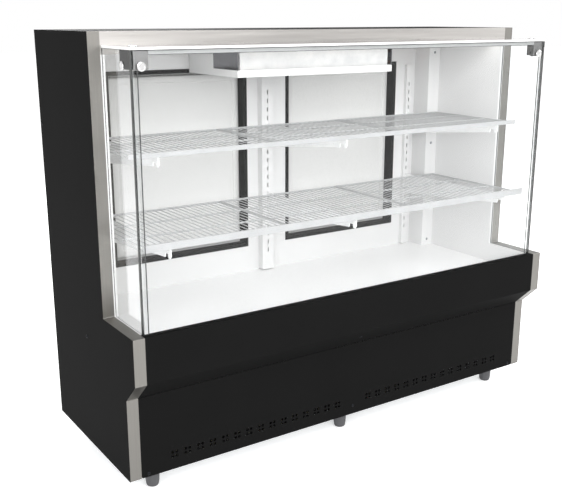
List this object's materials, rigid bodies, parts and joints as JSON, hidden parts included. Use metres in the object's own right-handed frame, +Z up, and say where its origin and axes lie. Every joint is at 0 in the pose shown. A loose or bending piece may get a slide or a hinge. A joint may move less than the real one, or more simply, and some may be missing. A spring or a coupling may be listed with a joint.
{
  "type": "refrigerated display case",
  "caption": "Glazed refrigerated display case with wire shelves, hinged rear doors, a ceiling evaporator, a machine bay and levelling feet.",
  "frame": {"origin": "on the floor, under the middle of the bounding box", "axes": "+Z up, +X to the right of a customer at the glass, +Y towards the rear doors"},
  "size_m": [1.5048, 0.624, 1.23],
  "materials": {
    "dark_panel_paint": "satin",
    "brushed_stainless": "satin",
    "fascia_stainless": "satin",
    "liner_paint": "satin",
    "deck_paint": "satin",
    "clear_glass": "gloss",
    "zinc_steel": "satin",
    "polished_steel": "polished",
    "rigid_foam": "matte",
    "black_plastic": "satin",
    "frame_plastic": "satin",
    "door_liner_plastic": "gloss",
    "gasket_rubber": "matte",
    "wire_coating": "gloss",
    "coil_aluminium": "satin",
    "lamp_diffuser": "satin",
    "foot_plastic": "satin",
    "compressor_enamel": "gloss",
    "copper_pipe": "satin"
  },
  "bodies": {
    "cabinet": {"side_panel_left": "dark_panel_paint", "side_panel_right": "dark_panel_paint", "edge_trim_left": "brushed_stainless", "edge_trim_right": "brushed_stainless", "top_cover": "dark_panel_paint", "top_fascia": "fascia_stainless", "nose_panel": "dark_panel_paint", "vent_panel": "dark_panel_paint", "rear_panel": "dark_panel_paint", "rear_grille": "dark_panel_paint", "glass_channel": "black_plastic", "front_glass": "clear_glass", "top_glass": "clear_glass", "side_glass_left": "clear_glass", "side_glass_right": "clear_glass", "glass_corners": "polished_steel", "cabinet_foam": "rigid_foam", "side_liner_left": "liner_paint", "side_liner_right": "liner_paint", "inner_liner": "liner_paint", "deck_tray": "deck_paint", "corner_duct": "liner_paint", "shelf_uprights": "wire_coating", "door_frame_left": "frame_plastic", "door_frame_right": "frame_plastic", "hinge_brackets": "zinc_steel", "evaporator_cover": "liner_paint", "evaporator_coil": "coil_aluminium", "evaporator_end_plates": "polished_steel", "evaporator_motor": "zinc_steel", "led_lamp": "lamp_diffuser", "upper_shelf": "wire_coating", "lower_shelf": "wire_coating", "shelf_arms": "wire_coating", "base_tray": "zinc_steel", "compressor": "compressor_enamel", "condenser": "coil_aluminium", "fan_shroud": "zinc_steel", "refrigerant_pipes": "copper_pipe", "control_panel": "black_plastic", "power_inlet": "black_plastic", "screws": "zinc_steel"},
    "door_left": {"rear_door_left": "dark_panel_paint", "door_liner_left": "door_liner_plastic", "door_gasket_left": "gasket_rubber", "door_handle_left": "black_plastic"},
    "door_right": {"rear_door_right": "dark_panel_paint", "door_liner_right": "door_liner_plastic", "door_gasket_right": "gasket_rubber", "door_handle_right": "black_plastic"},
    "evaporator_rotor": {"evaporator_fan": "black_plastic"},
    "condenser_rotor": {"condenser_fan": "black_plastic"},
    "knob": {"thermostat_knob": "black_plastic"},
    "rocker": {"light_switch": "black_plastic"},
    "foot_front_left_body": {"foot_front_left": "foot_plastic"},
    "foot_front_centre_body": {"foot_front_centre": "foot_plastic"},
    "foot_front_right_body": {"foot_front_right": "foot_plastic"},
    "foot_rear_left_body": {"foot_rear_left": "foot_plastic"},
    "foot_rear_centre_body": {"foot_rear_centre": "foot_plastic"},
    "foot_rear_right_body": {"foot_rear_right": "foot_plastic"}
  },
  "joints": [
    {"name": "left_door_hinge", "type": "hinge", "parent": "cabinet", "child": "door_left", "pos_m": [-0.5595, 0.296, 0.81], "axis": [0, 0, 1], "range_deg": [0, 110]},
    {"name": "right_door_hinge", "type": "hinge", "parent": "cabinet", "child": "door_right", "pos_m": [0.5595, 0.296, 0.81], "axis": [0, 0, -1], "range_deg": [0, 110]},
    {"name": "evaporator_fan_spin", "type": "hinge", "parent": "cabinet", "child": "evaporator_rotor", "pos_m": [0, 0.1666, 1.1155], "axis": [0, 0, 1], "continuous": true},
    {"name": "condenser_fan_spin", "type": "hinge", "parent": "cabinet", "child": "condenser_rotor", "pos_m": [0.485, -0.157, 0.179], "axis": [0, 1, 0], "continuous": true},
    {"name": "thermostat_turn", "type": "hinge", "parent": "cabinet", "child": "knob", "pos_m": [-0.044, 0.277, 0.446], "axis": [0, 1, 0], "range_deg": [0, 270]},
    {"name": "light_switch_rock", "type": "hinge", "parent": "cabinet", "child": "rocker", "pos_m": [0.044, 0.277, 0.446], "axis": [-1, 0, 0], "range_deg": [0, 16]},
    {"name": "foot_front_left_level", "type": "slide", "parent": "cabinet", "child": "foot_front_left_body", "axis": [0, 0, -1], "range_m": [0, 0.012]},
    {"name": "foot_front_centre_level", "type": "slide", "parent": "cabinet", "child": "foot_front_centre_body", "axis": [0, 0, -1], "range_m": [0, 0.012]},
    {"name": "foot_front_right_level", "type": "slide", "parent": "cabinet", "child": "foot_front_right_body", "axis": [0, 0, -1], "range_m": [0, 0.012]},
    {"name": "foot_rear_left_level", "type": "slide", "parent": "cabinet", "child": "foot_rear_left_body", "axis": [0, 0, -1], "range_m": [0, 0.012]},
    {"name": "foot_rear_centre_level", "type": "slide", "parent": "cabinet", "child": "foot_rear_centre_body", "axis": [0, 0, -1], "range_m": [0, 0.012]},
    {"name": "foot_rear_right_level", "type": "slide", "parent": "cabinet", "child": "foot_rear_right_body", "axis": [0, 0, -1], "range_m": [0, 0.012]}
  ]
}
